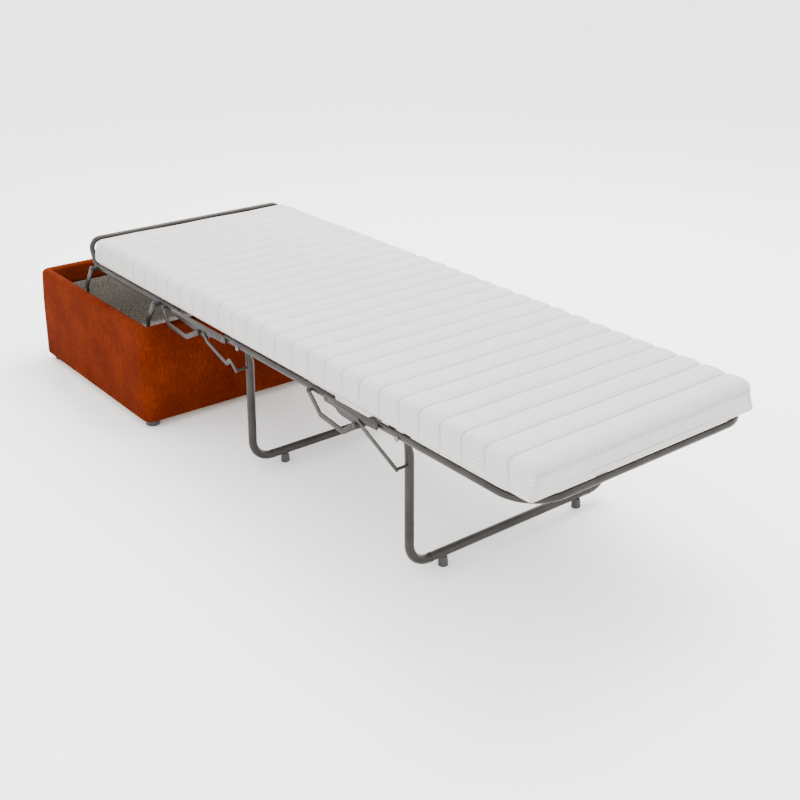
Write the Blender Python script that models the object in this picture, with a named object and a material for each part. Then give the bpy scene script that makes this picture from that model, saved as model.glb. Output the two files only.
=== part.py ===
"""Fold-out guest bed that stows in an upholstered box.

Metres, +Z up, +X from the box towards the foot of the bed.
"""

import math

import bpy
import bmesh
from mathutils import Matrix, Vector

# Driving dimensions
TOTAL_LENGTH = 2.164  # back of the box to the outside of the foot bar
BOX_LENGTH, BOX_WIDTH, BOX_TOP = 0.709, 0.850, 0.304
BOX_FLOOR = 0.0235  # underside of the box, on its feet
COVER_THICK, WOOD_THICK, LINING_THICK = 0.010, 0.016, 0.005
FLAP_DEPTH = 0.060  # how far the cover turns down inside
GAP = 0.0003  # between pieces that touch
RAIL_Z, RAIL_Y, RAIL_RADIUS = 0.3625, 0.343, 0.008
LEG_RADIUS, LEG_Y, LEG_CORNER = 0.011, 0.3165, 0.055
PAD_HEIGHT, PAD_RADIUS, PAD_Y = 0.0232, 0.012, 0.217
HEAD_BAR_Z, HEAD_BAR_X = 0.436, -0.861
HINGE_1 = (-0.320, -0.050)  # where plate 1 turns on the head section and on the middle one
HINGE_2 = (0.412, 0.600)  # where plate 2 turns on the middle section and on the foot one
LEG_1_X, LEG_2_X, LEG_DROP = 0.015, 0.673, 0.004
LEG_TOP = 0.005  # how far a leg runs past its bolt
FRONT_ARM_X, REAR_ARM_X = -0.403, -0.802  # upper pivots of the swing arms
ARM_REACH, ARM_FOOT_Z = 0.039, 0.245  # how far back and how high the lower pivots are
MATTRESS_HALF_WIDTH = 0.3275
MESH_RISE, MESH_THICK, MESH_WIRE = 0.0085, 0.003, 0.004
MATTRESS_RISE, HEAD_PAD_TOP, PAD_TOP = 0.012, 0.0655, 0.087  # above the rails' middle line
PIN_RADIUS, HOLE_RADIUS, HEAD_RADIUS = 0.0035, 0.0038, 0.0065
TUBE_SIDES, PIN_SIDES = 12, 10
OVERRUN = 0.012  # how far a rail runs past its last pivot

# Layers from the middle of the bed outwards, as (inner, outer) distances
PIN_END = 0.3335  # where the pins stop, inside the rails
PLATE_LAYER = (0.3525, 0.3555)
ROD_LAYER = (0.3565, 0.3589)
LINK_LAYER = (0.3594, 0.3630)
ARM_LAYER = (0.3680, 0.3720)
BRACKET_LAYER = (0.3760, 0.3925)

BOX_BACK = -TOTAL_LENGTH / 2
BOX_FRONT = BOX_BACK + BOX_LENGTH
FOOT_BAR_X = TOTAL_LENGTH / 2 - RAIL_RADIUS
SIDES = (("left", -1), ("right", 1))


def clear_scene():
    for obj in list(bpy.data.objects):
        bpy.data.objects.remove(obj, do_unlink=True)


def material(name, colour, roughness, metallic=0.0):
    made = bpy.data.materials.new(name)
    made.use_nodes = True
    shader = made.node_tree.nodes["Principled BSDF"]
    shader.inputs["Base Color"].default_value = (*colour, 1)
    shader.inputs["Roughness"].default_value = roughness
    shader.inputs["Metallic"].default_value = metallic
    return made


def body(name, x=0.0, z=0.0, parent=None):
    """An empty on a joint's axis, which runs along Y, that carries the pieces of one moving body."""
    empty = bpy.data.objects.new("body_" + name, None)
    bpy.context.scene.collection.objects.link(empty)
    if parent:
        empty.parent = parent
        empty.location = Vector((x, 0, z)) - parent.matrix_world.translation
    else:
        empty.location = (x, 0, z)
    bpy.context.view_layer.update()
    return empty


def add(name, bm, mat, carrier, smooth=True):
    """Turns a bmesh in world coordinates into a named object that hangs on its body's empty."""
    bmesh.ops.recalc_face_normals(bm, faces=bm.faces)
    mesh = bpy.data.meshes.new(name)
    bm.to_mesh(mesh)
    bm.free()
    obj = bpy.data.objects.new(name, mesh)
    bpy.context.scene.collection.objects.link(obj)
    mesh.materials.append(mat)
    if smooth:
        mesh.shade_smooth()
        mesh.set_sharp_from_angle(angle=math.radians(35))
    mesh.transform(Matrix.Translation(-carrier.matrix_world.translation))
    obj.parent = carrier
    return obj


def helper(name, bm):
    """A cutter or an added shape, which isn't a piece of its own."""
    bmesh.ops.recalc_face_normals(bm, faces=bm.faces)
    mesh = bpy.data.meshes.new(name)
    bm.to_mesh(mesh)
    bm.free()
    obj = bpy.data.objects.new(name, mesh)
    bpy.context.scene.collection.objects.link(obj)
    obj.hide_render = True
    obj.display_type = "WIRE"
    return obj


def combine(obj, other, operation):
    modifier = obj.modifiers.new(operation.lower(), "BOOLEAN")
    modifier.operation = operation
    modifier.object = other
    modifier.solver = "EXACT"


def rounded_path(corners, radius, steps=5):
    """The corners joined by straight runs, with an arc of that radius at each inner corner."""
    corners = [Vector(c) for c in corners]
    path = [corners[0]]
    for before, corner, after in zip(corners, corners[1:], corners[2:]):
        back, ahead = (before - corner).normalized(), (after - corner).normalized()
        half = back.angle(ahead) / 2
        centre = corner + (back + ahead).normalized() * (radius / math.sin(half))
        start, end = corner + back * (radius / math.tan(half)), corner + ahead * (radius / math.tan(half))
        first, last = start - centre, end - centre
        turn = first.angle(last)
        for step in range(steps + 1):
            share = step / steps
            weights = math.sin((1 - share) * turn), math.sin(share * turn)
            path.append(centre + (first * weights[0] + last * weights[1]) / math.sin(turn))
    return path + [corners[-1]]


def tube(path, radius, sides=TUBE_SIDES):
    """A closed round bar along the path: one ring in each point's mitre plane, and a cap at each end."""
    bm = bmesh.new()
    points = [Vector(p) for p in path]
    first = (points[1] - points[0]).normalized()
    across = first.cross(Vector((0, 0, 1)) if abs(first.z) < 0.9 else Vector((0, 1, 0))).normalized()
    rings = []
    for i, point in enumerate(points):
        before = (point - points[max(i - 1, 0)]).normalized()
        after = (points[min(i + 1, len(points) - 1)] - point).normalized()
        along = (before + after).normalized()
        across = (across - across.dot(along) * along).normalized()
        up = along.cross(across)
        wheel = [2 * math.pi * (k + 0.5) / sides for k in range(sides)]
        spokes = [math.cos(a) * across + math.sin(a) * up for a in wheel]
        rings.append([bm.verts.new(point + radius * spoke) for spoke in spokes])
    for ring, following in zip(rings, rings[1:]):
        for k in range(sides):
            bm.faces.new((ring[k - 1], ring[k], following[k], following[k - 1]))
    bm.faces.new(rings[0])
    bm.faces.new(rings[-1])
    return bm


def prism(outline, low, high, turn=lambda a, b, h: (a, b, h)):
    """A closed prism over a flat outline of (a, b) points between two heights, turned into place."""
    bm = bmesh.new()
    bottom = [bm.verts.new(turn(a, b, low)) for a, b in outline]
    top = [bm.verts.new(turn(a, b, high)) for a, b in outline]
    bm.faces.new(bottom)
    bm.faces.new(top)
    for k in range(len(outline)):
        bm.faces.new((bottom[k - 1], bottom[k], top[k], top[k - 1]))
    return bm


def side_on(a, b, h):
    """Outline in the XZ plane, heights along Y."""
    return (a, h, b)


def block(low, high):
    outline = [(low[0], low[1]), (high[0], low[1]), (high[0], high[1]), (low[0], high[1])]
    return prism(outline, low[2], high[2])


def span(side, layer):
    """The two Y values of a layer on one side of the bed."""
    return sorted(side * depth for depth in layer)


def pins(places):
    """One mesh of cylinders along Y, each given as (x, z, radius, from y, to y)."""
    bm = bmesh.new()
    for x, z, radius, start, end in places:
        turned = [2 * math.pi * (k + 0.5) / PIN_SIDES for k in range(PIN_SIDES)]
        rings = [
            [bm.verts.new((x + radius * math.cos(a), y, z + radius * math.sin(a))) for a in turned]
            for y in sorted((start, end))
        ]
        for k in range(PIN_SIDES):
            bm.faces.new((rings[0][k - 1], rings[0][k], rings[1][k], rings[1][k - 1]))
        bm.faces.new(rings[0])
        bm.faces.new(rings[1])
    return bm


def drill(obj, side, places, layer):
    """Cuts holes along Y through a layer at the (x, z) places."""
    reach = (layer[0] - 0.004, layer[1] + 0.004)
    cutter = pins([(x, z, HOLE_RADIUS, side * reach[0], side * reach[1]) for x, z in places])
    combine(obj, helper(obj.name + "_holes", cutter), "DIFFERENCE")


def arc(centre, radius, start, end, steps):
    """Points of an arc, angles in degrees."""
    angles = [math.radians(start + (end - start) * k / steps) for k in range(steps + 1)]
    return [(centre[0] + radius * math.cos(a), centre[1] + radius * math.sin(a)) for a in angles]


def strap_outline(path, width, steps=6):
    """The outline of a flat bar of one width along a bent line, with round ends and mitred bends."""
    points = [Vector(p) for p in path]
    half = width / 2
    left, right = [], []
    for i in range(1, len(points) - 1):
        before = (points[i] - points[i - 1]).normalized()
        after = (points[i + 1] - points[i]).normalized()
        normal = Vector((-before.y - after.y, before.x + after.x)).normalized()
        reach = half / normal.dot(Vector((-before.y, before.x)))
        left.append(points[i] + normal * reach)
        right.append(points[i] - normal * reach)
    first, last = points[1] - points[0], points[-1] - points[-2]
    heading = math.degrees(math.atan2(first.y, first.x))
    start = arc(points[0], half, heading + 90, heading + 270, steps)
    heading = math.degrees(math.atan2(last.y, last.x))
    end = arc(points[-1], half, heading - 90, heading + 90, steps)
    return start + [tuple(p) for p in right] + end + [tuple(p) for p in reversed(left)]


def rounded_rectangle(low, high, radius, steps=4):
    corners = ((high[0], high[1], 0), (low[0], high[1], 90), (low[0], low[1], 180), (high[0], low[1], 270))
    outline = []
    for x, y, angle in corners:
        centre = (x - radius if x == high[0] else x + radius, y - radius if y == high[1] else y + radius)
        outline += arc(centre, radius, angle, angle + 90, steps)
    return outline


def box_outline(inset, radius):
    """The box's plan, drawn in by an inset."""
    low = (BOX_BACK + inset, -BOX_WIDTH / 2 + inset)
    high = (BOX_FRONT - inset, BOX_WIDTH / 2 - inset)
    return rounded_rectangle(low, high, radius)


def ring_sweep(profile, corner=0.022):
    """A closed section of (inset, height) points carried round the box's plan."""
    bm = bmesh.new()
    loops = []
    for inset, height in profile:
        outline = box_outline(inset, max(corner - inset, 0.002))
        loops.append([bm.verts.new((x, y, height)) for x, y in outline])
    for loop, following in zip(loops, loops[1:] + loops[:1]):
        for k in range(len(loop)):
            bm.faces.new((loop[k - 1], loop[k], following[k], following[k - 1]))
    return bm


def make_box(carrier, looks):
    wood_inset = COVER_THICK + GAP
    lining_inset = wood_inset + WOOD_THICK + GAP
    inner = lining_inset + LINING_THICK
    soft = 0.009  # radius of the cover's top edge
    edge = [(soft - soft * math.cos(a), BOX_TOP - soft + soft * math.sin(a)) for a in (0, 0.52, 1.05, 1.57)]
    profile = [(0, BOX_FLOOR)] + edge + [(inner - 0.004, BOX_TOP), (inner, BOX_TOP - 0.004)]
    profile += [(inner, BOX_TOP - FLAP_DEPTH), (lining_inset, BOX_TOP - FLAP_DEPTH)]
    under = BOX_TOP - COVER_THICK
    profile += [(lining_inset, under), (COVER_THICK, under), (COVER_THICK, BOX_FLOOR)]
    add("fabric_cover", ring_sweep(profile), looks["fabric"], carrier)

    floor_top = BOX_FLOOR + 0.012
    base = prism(box_outline(wood_inset, 0.012), BOX_FLOOR, floor_top)
    add("bottom_panel", base, looks["wood"], carrier, smooth=False)
    low, high = floor_top + GAP, BOX_TOP - COVER_THICK - GAP
    back, front, half = BOX_BACK + wood_inset, BOX_FRONT - wood_inset, BOX_WIDTH / 2 - wood_inset
    for name, x in (("back_panel", back), ("front_panel", front - WOOD_THICK)):
        panel = block((x, -half + 0.012, low), (x + WOOD_THICK, half - 0.012, high))
        add(name, panel, looks["wood"], carrier, smooth=False)
    for name, side in SIDES:
        near, far = sorted((side * half, side * (half - WOOD_THICK)))
        panel = block((back + WOOD_THICK + GAP, near, low), (front - WOOD_THICK - GAP, far, high))
        add(name + "_panel", panel, looks["wood"], carrier, smooth=False)

    lining_low, lining_high = floor_top + GAP, BOX_TOP - FLAP_DEPTH - GAP
    tray = prism(box_outline(lining_inset, 0.006), lining_low, lining_high)
    lining = add("felt_lining", tray, looks["felt"], carrier, smooth=False)
    hollow = prism(box_outline(inner, 0.003), lining_low + LINING_THICK, BOX_TOP)
    combine(lining, helper("lining_hollow", hollow), "DIFFERENCE")

    for end, x in (("rear", BOX_BACK + 0.040), ("front", BOX_FRONT - 0.040)):
        for name, side in SIDES:
            foot = pins([])
            bmesh.ops.create_cone(
                foot, cap_ends=True, segments=16, radius1=0.019, radius2=0.024, depth=PAD_HEIGHT
            )
            centre = (x, side * (BOX_WIDTH / 2 - 0.036), PAD_HEIGHT / 2)
            bmesh.ops.translate(foot, verts=foot.verts, vec=centre)
            add(f"box_foot_{end}_{name}", foot, looks["rubber"], carrier)


def make_side_bracket(name, side, carrier, looks):
    """A long steel plate on each side wall that carries both arms' lower pivots."""
    rear, front = REAR_ARM_X - ARM_REACH, FRONT_ARM_X - ARM_REACH
    crown = ARM_FOOT_Z + 0.016
    outline = [(rear - 0.030, 0.150), (front + 0.030, 0.150), (front + 0.030, 0.215)]
    outline += [(front + 0.016, crown), (front - 0.016, crown), (front - 0.045, 0.205)]
    outline += [(rear + 0.045, 0.205), (rear + 0.016, crown), (rear - 0.016, crown), (rear - 0.030, 0.215)]
    layer = (BRACKET_LAYER[1] - 0.004, BRACKET_LAYER[1])
    plate = prism(outline, *span(side, layer), side_on)
    obj = add("side_bracket_" + name, plate, looks["steel"], carrier)
    studs = []
    for x in (rear, front):
        studs.append((x, ARM_FOOT_Z, 0.009, side * BRACKET_LAYER[0], side * (layer[0] + 0.002)))
        studs.append((x, ARM_FOOT_Z, PIN_RADIUS, side * (ARM_LAYER[0] - 0.002), side * (layer[0] + 0.002)))
    combine(obj, helper(f"side_studs_{name}", pins(studs[0:1] + studs[2:3])), "UNION")
    combine(obj, helper(f"side_pins_{name}", pins(studs[1:2] + studs[3:4])), "UNION")


def make_arm(name, side, top_x, carrier, looks):
    """A bent flat arm, from its pivot on the box to a pin that passes into the head section's rail."""
    foot = (top_x - ARM_REACH, ARM_FOOT_Z)
    knee = (top_x - ARM_REACH - 0.001, ARM_FOOT_Z + 0.058)
    outline = strap_outline([foot, knee, (top_x, RAIL_Z)], 0.019)
    obj = add(name, prism(outline, *span(side, ARM_LAYER), side_on), looks["steel"], carrier)
    drill(obj, side, [foot], ARM_LAYER)
    inside = side * (ARM_LAYER[0] + 0.002)
    pin = [(top_x, RAIL_Z, PIN_RADIUS, side * PIN_END, inside)]
    collar = [(top_x, RAIL_Z, HEAD_RADIUS, side * (RAIL_Y + RAIL_RADIUS + 2 * GAP), inside)]
    combine(obj, helper(name + "_pin", pins(pin)), "UNION")
    combine(obj, helper(name + "_collar", pins(collar)), "UNION")


def make_lattice(name, x_range, columns, rows, carrier, looks):
    """A welded wire mesh panel of flat crossing wires: a cell is solid on an even row or column."""
    half = MATTRESS_HALF_WIDTH
    low, high = RAIL_Z + MESH_RISE, RAIL_Z + MESH_RISE + MESH_THICK

    def lines(start, end, count):
        pitch = (end - start - MESH_WIRE) / count
        edges = []
        for k in range(count + 1):
            edges += [start + k * pitch, start + k * pitch + MESH_WIRE]
        return edges

    xs, ys = lines(*x_range, columns), lines(-half, half, rows)
    bm = bmesh.new()
    verts = {}

    def vert(i, j, z):
        if (i, j, z) not in verts:
            verts[i, j, z] = bm.verts.new((xs[i], ys[j], z))
        return verts[i, j, z]

    def solid(i, j):
        return 0 <= i < len(xs) - 1 and 0 <= j < len(ys) - 1 and (i % 2 == 0 or j % 2 == 0)

    for i in range(len(xs) - 1):
        for j in range(len(ys) - 1):
            if not solid(i, j):
                continue
            for z in (low, high):
                bm.faces.new((vert(i, j, z), vert(i + 1, j, z), vert(i + 1, j + 1, z), vert(i, j + 1, z)))
            walls = (((i, j), (i + 1, j), (i, j - 1)), ((i + 1, j), (i + 1, j + 1), (i + 1, j)))
            walls += (((i + 1, j + 1), (i, j + 1), (i, j + 1)), ((i, j + 1), (i, j), (i - 1, j)))
            for a, b, beyond in walls:
                if not solid(*beyond):
                    bm.faces.new((vert(*a, low), vert(*b, low), vert(*b, high), vert(*a, high)))
    add(name, bm, looks["steel"], carrier, smooth=False)


def make_pad(name, x_range, top, carrier, looks, corner=0.004):
    low, high = (x_range[0], -MATTRESS_HALF_WIDTH), (x_range[1], MATTRESS_HALF_WIDTH)
    pad = prism(rounded_rectangle(low, high, corner, 3), RAIL_Z + MATTRESS_RISE, RAIL_Z + top)
    add(name, pad, looks["foam"], carrier, smooth=False)


def make_cross_tube(name, x, carrier, looks):
    reach = RAIL_Y - RAIL_RADIUS - 0.0006
    bar = tube([(x, -reach, RAIL_Z), (x, 0, RAIL_Z), (x, reach, RAIL_Z)], RAIL_RADIUS)
    add(name, bar, looks["steel"], carrier)


def make_plate(name, side, hinge, shape, hole, slot, carrier, looks):
    """A stamped hinge plate between two pivots, its shape given from the first pivot."""
    length = hinge[1] - hinge[0]
    end = arc((length, 0), 0.0105, -60, 90, 5)
    start = arc((0, 0), 0.0095, 90, 255, 5)
    outline = [(hinge[0] + s, RAIL_Z + h) for s, h in shape + end + start]
    obj = add(name, prism(outline, *span(side, PLATE_LAYER), side_on), looks["steel"], carrier)
    drill(obj, side, [(hinge[0] + hole[0], RAIL_Z + hole[1])], PLATE_LAYER)
    if slot:
        ends = [(hinge[0] + s, RAIL_Z + h) for s, h in slot]
        cutter = prism(strap_outline(ends, 0.0045, 3), *span(side, (0.349, 0.359)), side_on)
        combine(obj, helper(name + "_slot", cutter), "DIFFERENCE")
    low, high = side * (PLATE_LAYER[1] - 0.001), side * (ROD_LAYER[0] - 0.0004)
    shanks = [(x, RAIL_Z, PIN_RADIUS, side * PIN_END, low) for x in hinge]
    heads = [(x, RAIL_Z, HEAD_RADIUS, low, high) for x in hinge]
    combine(obj, helper(name + "_shanks", pins(shanks)), "UNION")
    combine(obj, helper(name + "_heads", pins(heads)), "UNION")


def make_link(name, side, pivot, shape, carrier, looks):
    """A bent flat link on the outside, pinned to the rail beside a hinge plate."""
    path = [(pivot[0] + a, pivot[1] + b) for a, b in shape]
    strap = prism(strap_outline(path, 0.014), *span(side, LINK_LAYER), side_on)
    obj = add(name, strap, looks["steel"], carrier)
    shank = [(*pivot, PIN_RADIUS, side * PIN_END, side * (LINK_LAYER[0] + 0.001))]
    low, high = side * (LINK_LAYER[1] - 0.001), side * (LINK_LAYER[1] + 0.002)
    heads = [(*place, HEAD_RADIUS - 0.001, low, high) for place in (path[0], path[-1])]
    combine(obj, helper(name + "_shank", pins(shank)), "UNION")
    combine(obj, helper(name + "_heads", pins(heads)), "UNION")


def make_rod(name, side, path, carrier, looks):
    """A flat rod outside the hinge plate, from a pin through the plate to a stud beside the leg."""
    rod = prism(strap_outline(path, 0.012), *span(side, ROD_LAYER), side_on)
    obj = add(name, rod, looks["steel"], carrier)
    shank = (*path[0], PIN_RADIUS, side * (PLATE_LAYER[0] - 0.002), side * (ROD_LAYER[0] + 0.001))
    head = (*path[0], HEAD_RADIUS, side * (PLATE_LAYER[0] - 0.0025), side * (PLATE_LAYER[0] - 0.0004))
    stud = (*path[-1], PIN_RADIUS, side * (LEG_Y + LEG_RADIUS + 2 * GAP), side * (ROD_LAYER[0] + 0.001))
    for label, place in (("shank", shank), ("head", head), ("stud", stud)):
        combine(obj, helper(f"{name}_{label}", pins([place])), "UNION")


def make_leg(number, x, carrier, looks):
    """A U of tube with rubber pads, turning on bolts in the rails."""
    pivot_z = RAIL_Z - LEG_DROP
    bar_z = PAD_HEIGHT + GAP + LEG_RADIUS
    top = pivot_z + LEG_TOP
    corners = [(x, -LEG_Y, top), (x, -LEG_Y, bar_z), (x, LEG_Y, bar_z), (x, LEG_Y, top)]
    bent = tube(rounded_path(corners, LEG_CORNER), LEG_RADIUS)
    obj = add(f"leg_{number}_tube", bent, looks["steel"], carrier)
    low, high = LEG_Y - 2 * LEG_RADIUS, LEG_Y + 2 * LEG_RADIUS
    holes = [(x, pivot_z, HOLE_RADIUS, side * low, side * high) for side in (-1, 1)]
    combine(obj, helper(f"leg_{number}_holes", pins(holes)), "DIFFERENCE")
    for name, side in SIDES:
        pad = bmesh.new()
        narrow = PAD_RADIUS - 0.002
        bmesh.ops.create_cone(
            pad, cap_ends=True, segments=14, radius1=PAD_RADIUS, radius2=narrow, depth=PAD_HEIGHT
        )
        bmesh.ops.translate(pad, verts=pad.verts, vec=(x, side * PAD_Y, PAD_HEIGHT / 2))
        add(f"leg_{number}_pad_{name}", pad, looks["rubber"], carrier)


def make_leg_bolt(number, name, side, x, carrier, looks):
    """The bolt that a leg turns on: a head outside the rail and a shank that ends inside the leg."""
    z = RAIL_Z - LEG_DROP
    rail_face = RAIL_Y + RAIL_RADIUS
    shank = pins([(x, z, PIN_RADIUS, side * (LEG_Y - LEG_RADIUS - 0.002), side * (rail_face + 0.002))])
    bolt = add(f"leg_{number}_bolt_{name}", shank, looks["bolt"], carrier)
    head = pins([(x, z, HEAD_RADIUS, side * (rail_face + 0.0008), side * (rail_face + 0.0040))])
    combine(bolt, helper(f"leg_{number}_bolt_head_{name}", head), "UNION")


def make_rail_frame(name, corners, radius, holes, carrier, looks):
    """A U of rail tube with pivot holes through both sides."""
    obj = add(name, tube(rounded_path(corners, radius), RAIL_RADIUS), looks["steel"], carrier)
    low, high = RAIL_Y - 0.013, RAIL_Y + 0.013
    places = [(*place, HOLE_RADIUS, side * low, side * high) for place in holes for side in (-1, 1)]
    combine(obj, helper(name + "_holes", pins(places)), "DIFFERENCE")


def rod_shape(boss, end, dog_leg):
    """The rod's line from its pin to the leg. A dog leg drops it in two bends before it meets the leg."""
    if not dog_leg:
        return [boss, end]
    drop = [(boss[0] + 0.020, boss[1] - 0.018), (end[0] - 0.045, end[1] + 0.004)]
    return [boss, *drop, (end[0] - 0.030, end[1] + 0.022), end]


def main():
    clear_scene()
    looks = {
        "fabric": material("rust_fabric", (0.42, 0.09, 0.03), 0.9),
        "felt": material("grey_felt", (0.33, 0.31, 0.28), 0.95),
        "wood": material("pine_board", (0.62, 0.47, 0.30), 0.6),
        "steel": material("grey_steel", (0.10, 0.095, 0.09), 0.4, 0.6),
        "bolt": material("bolt_steel", (0.20, 0.19, 0.18), 0.35, 0.9),
        "rubber": material("black_rubber", (0.02, 0.02, 0.02), 0.8),
        "foam": material("white_mattress", (0.80, 0.79, 0.77), 0.9),
    }
    leg_z = RAIL_Z - LEG_DROP
    link_1, link_2 = (HINGE_1[0] - 0.045, RAIL_Z), (HINGE_2[0] - 0.062, RAIL_Z)
    boss_1, boss_2 = (HINGE_1[1] - 0.0976, RAIL_Z - 0.012), (HINGE_2[1] - 0.060, RAIL_Z - 0.011)

    box = body("box")
    front_arms = body("front_arms", FRONT_ARM_X - ARM_REACH, ARM_FOOT_Z, box)
    rear_arms = body("rear_arms", REAR_ARM_X - ARM_REACH, ARM_FOOT_Z, box)
    head = body("head_section", FRONT_ARM_X, RAIL_Z, front_arms)
    plates_1 = body("hinge_plates_1", HINGE_1[0], RAIL_Z, head)
    links_1 = body("links_1", *link_1, head)
    rods_1 = body("rods_1", *boss_1, plates_1)
    middle = body("middle_section", HINGE_1[1], RAIL_Z, plates_1)
    leg_1 = body("leg_1", LEG_1_X, leg_z, middle)
    plates_2 = body("hinge_plates_2", HINGE_2[0], RAIL_Z, middle)
    links_2 = body("links_2", *link_2, middle)
    rods_2 = body("rods_2", *boss_2, plates_2)
    foot = body("foot_section", HINGE_2[1], RAIL_Z, plates_2)
    leg_2 = body("leg_2", LEG_2_X, leg_z, foot)

    make_box(box, looks)
    y = RAIL_Y
    near, rise = HINGE_1[0] + OVERRUN, HEAD_BAR_X + 0.039  # the rail's end, and where it turns up
    turned_up = [(near, -y, RAIL_Z), (rise, -y, RAIL_Z), (HEAD_BAR_X, -y, HEAD_BAR_Z)]
    turned_up += [(HEAD_BAR_X, y, HEAD_BAR_Z), (rise, y, RAIL_Z), (near, y, RAIL_Z)]
    pivots = [(FRONT_ARM_X, RAIL_Z), (REAR_ARM_X, RAIL_Z), (HINGE_1[0], RAIL_Z), link_1]
    make_rail_frame("head_frame", turned_up, 0.034, pivots, head, looks)
    near = HINGE_2[1] - OVERRUN
    flat = [(near, -y, RAIL_Z), (FOOT_BAR_X, -y, RAIL_Z), (FOOT_BAR_X, y, RAIL_Z), (near, y, RAIL_Z)]
    make_rail_frame("foot_frame", flat, 0.090, [(HINGE_2[1], RAIL_Z), (LEG_2_X, leg_z)], foot, looks)
    make_cross_tube("head_cross_tube", HINGE_1[0] - 0.030, head, looks)
    make_cross_tube("middle_cross_tube", LEG_1_X - 0.040, middle, looks)
    make_cross_tube("foot_cross_tube", LEG_2_X - 0.045, foot, looks)
    make_lattice("head_mesh", (-0.815, HINGE_1[0] - 0.004), 5, 6, head, looks)
    make_lattice("middle_mesh", (HINGE_1[1] + 0.004, HINGE_2[0] - 0.004), 5, 6, middle, looks)
    make_lattice("foot_mesh", (HINGE_2[1] + 0.004, FOOT_BAR_X - 0.004), 5, 6, foot, looks)

    make_pad("mattress_head", (-0.838, HINGE_1[0] - 0.001), HEAD_PAD_TOP, head, looks)
    make_pad("mattress_hinge_1", (HINGE_1[0], HINGE_1[1]), PAD_TOP, plates_1, looks)
    make_pad("mattress_middle", (HINGE_1[1] + 0.001, HINGE_2[0] - 0.001), PAD_TOP, middle, looks)
    make_pad("mattress_hinge_2", (HINGE_2[0], HINGE_2[1]), PAD_TOP, plates_2, looks)
    make_pad("mattress_foot", (HINGE_2[1] + 0.001, FOOT_BAR_X - 0.008), PAD_TOP, foot, looks)

    make_leg(1, LEG_1_X, leg_1, looks)
    make_leg(2, LEG_2_X, leg_2, looks)
    shape_1 = [(0.05, -0.012), (0.085, -0.017), (0.155, -0.022)]
    shape_1 += [(0.172, -0.026), (0.192, -0.021), (0.205, -0.0105)]
    shape_2 = [(0.034, -0.0095), (0.052, -0.021), (0.112, -0.024), (0.130, -0.024), (0.150, -0.0105)]
    slot = ((0.062, -0.0165), (0.096, -0.0175))
    bends_1 = [(0, 0), (0.030, -0.041), (0.129, -0.047), (0.192, -0.016)]
    bends_2 = [(0, 0), (0.048, -0.0445), (0.1385, -0.054), (0.183, -0.022)]
    end_1, end_2 = (LEG_1_X, leg_z - 0.0595), (LEG_2_X + 0.006, leg_z - 0.0685)
    for name, side in SIDES:
        make_side_bracket(name, side, box, looks)
        make_arm("front_arm_" + name, side, FRONT_ARM_X, front_arms, looks)
        make_arm("rear_arm_" + name, side, REAR_ARM_X, rear_arms, looks)
        ends = (HINGE_1[1] - OVERRUN, 0.0, HINGE_2[0] + OVERRUN)
        rail = tube([(x, side * y, RAIL_Z) for x in ends], RAIL_RADIUS)
        obj = add("middle_rail_" + name, rail, looks["steel"], middle)
        holes = [(HINGE_1[1], RAIL_Z), (LEG_1_X, leg_z), link_2, (HINGE_2[0], RAIL_Z)]
        drill(obj, side, holes, (0.334, 0.352))
        make_leg_bolt(1, name, side, LEG_1_X, middle, looks)
        make_leg_bolt(2, name, side, LEG_2_X, foot, looks)
        make_plate("hinge_plate_1_" + name, side, HINGE_1, shape_1, (0.1724, -0.012), None, plates_1, looks)
        make_plate("hinge_plate_2_" + name, side, HINGE_2, shape_2, (0.128, -0.011), slot, plates_2, looks)
        make_link("bent_link_1_" + name, side, link_1, bends_1, links_1, looks)
        make_link("bent_link_2_" + name, side, link_2, bends_2, links_2, looks)
        make_rod("leg_rod_1_" + name, side, rod_shape(boss_1, end_1, True), rods_1, looks)
        make_rod("leg_rod_2_" + name, side, rod_shape(boss_2, end_2, False), rods_2, looks)


main()
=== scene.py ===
import math

import bpy
import numpy as np
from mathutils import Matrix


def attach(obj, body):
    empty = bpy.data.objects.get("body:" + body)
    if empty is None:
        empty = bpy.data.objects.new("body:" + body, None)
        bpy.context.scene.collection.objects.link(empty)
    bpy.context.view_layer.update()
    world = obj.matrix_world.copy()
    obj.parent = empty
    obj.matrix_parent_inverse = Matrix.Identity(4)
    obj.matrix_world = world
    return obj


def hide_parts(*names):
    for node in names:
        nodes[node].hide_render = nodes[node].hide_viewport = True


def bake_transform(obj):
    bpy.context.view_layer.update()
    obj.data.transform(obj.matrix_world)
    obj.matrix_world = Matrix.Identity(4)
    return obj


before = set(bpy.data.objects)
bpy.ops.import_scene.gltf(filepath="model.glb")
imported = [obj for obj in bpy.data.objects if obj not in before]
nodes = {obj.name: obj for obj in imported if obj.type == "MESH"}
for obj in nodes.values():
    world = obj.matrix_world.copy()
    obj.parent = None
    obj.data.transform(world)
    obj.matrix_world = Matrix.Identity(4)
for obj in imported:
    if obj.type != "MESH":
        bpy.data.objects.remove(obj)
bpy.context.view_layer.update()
sides = (("left", -1), ("right", 1))
print("frame loaded")


def unit(v):
    return v / np.linalg.norm(v, axis=-1, keepdims=True)


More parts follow.
